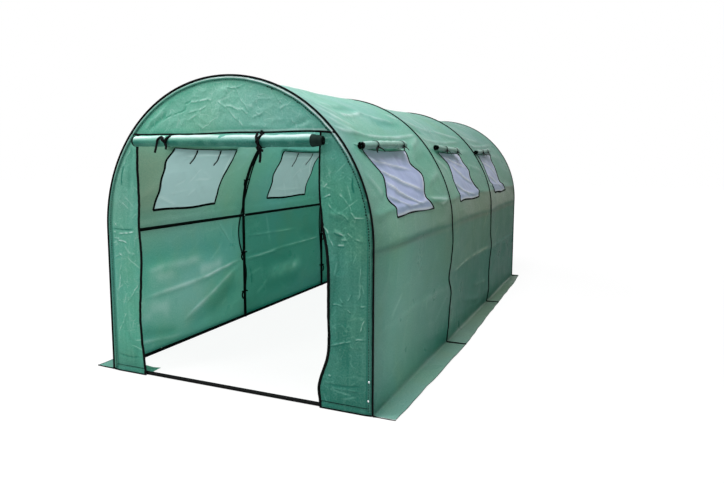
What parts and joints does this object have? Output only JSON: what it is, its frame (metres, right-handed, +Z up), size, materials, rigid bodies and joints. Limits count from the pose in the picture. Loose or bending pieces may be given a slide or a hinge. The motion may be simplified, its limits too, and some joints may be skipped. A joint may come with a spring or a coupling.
{
  "type": "polytunnel greenhouse",
  "caption": "Walk-in polytunnel greenhouse: bent-tube hoops under a fitted translucent green cover, with a rolled-up door in front and netted windows along the sides.",
  "frame": {"origin": "on the ground, at the centre of the bounding box", "axes": "+X to the right seen from the door, +Y from the door towards the rear, +Z up"},
  "size_m": [2.33, 4.5776, 2],
  "materials": {
    "cover_sheet": "translucent green woven polyethylene sheet, satin",
    "window_net": "pale knitted insect net, matte",
    "tie_ribbon": "black woven ribbon, matte",
    "frame_tube": "black powder coat, satin"
  },
  "bodies": {
    "root": {"bay_1_left_roof": "cover_sheet", "bay_1_left_wall": "cover_sheet", "bay_1_left_window_mesh": "window_net", "bay_1_left_window_roll": "cover_sheet", "bay_1_right_roof": "cover_sheet", "bay_1_right_wall": "cover_sheet", "bay_1_right_window_mesh": "window_net", "bay_1_right_window_roll": "cover_sheet", "bay_2_left_roof": "cover_sheet", "bay_2_left_wall": "cover_sheet", "bay_2_left_window_mesh": "window_net", "bay_2_left_window_roll": "cover_sheet", "bay_2_right_roof": "cover_sheet", "bay_2_right_wall": "cover_sheet", "bay_2_right_window_mesh": "window_net", "bay_2_right_window_roll": "cover_sheet", "bay_3_left_roof": "cover_sheet", "bay_3_left_wall": "cover_sheet", "bay_3_left_window_mesh": "window_net", "bay_3_left_window_roll": "cover_sheet", "bay_3_right_roof": "cover_sheet", "bay_3_right_wall": "cover_sheet", "bay_3_right_window_mesh": "window_net", "bay_3_right_window_roll": "cover_sheet", "door_roll": "cover_sheet", "door_ties": "tie_ribbon", "front_gable": "cover_sheet", "front_ground_bar": "frame_tube", "front_hoop": "frame_tube", "front_left_ground_flap": "cover_sheet", "front_left_jamb": "cover_sheet", "front_right_jamb": "cover_sheet", "left_base_rails": "frame_tube", "left_shoulder_rails": "frame_tube", "left_skirt": "cover_sheet", "rear_gable": "cover_sheet", "rear_ground_bar": "frame_tube", "rear_hoop": "frame_tube", "rear_wall": "cover_sheet", "ridge_rails": "frame_tube", "right_base_rails": "frame_tube", "right_shoulder_rails": "frame_tube", "right_skirt": "cover_sheet", "second_hoop": "frame_tube", "third_hoop": "frame_tube"}
  },
  "joints": []
}
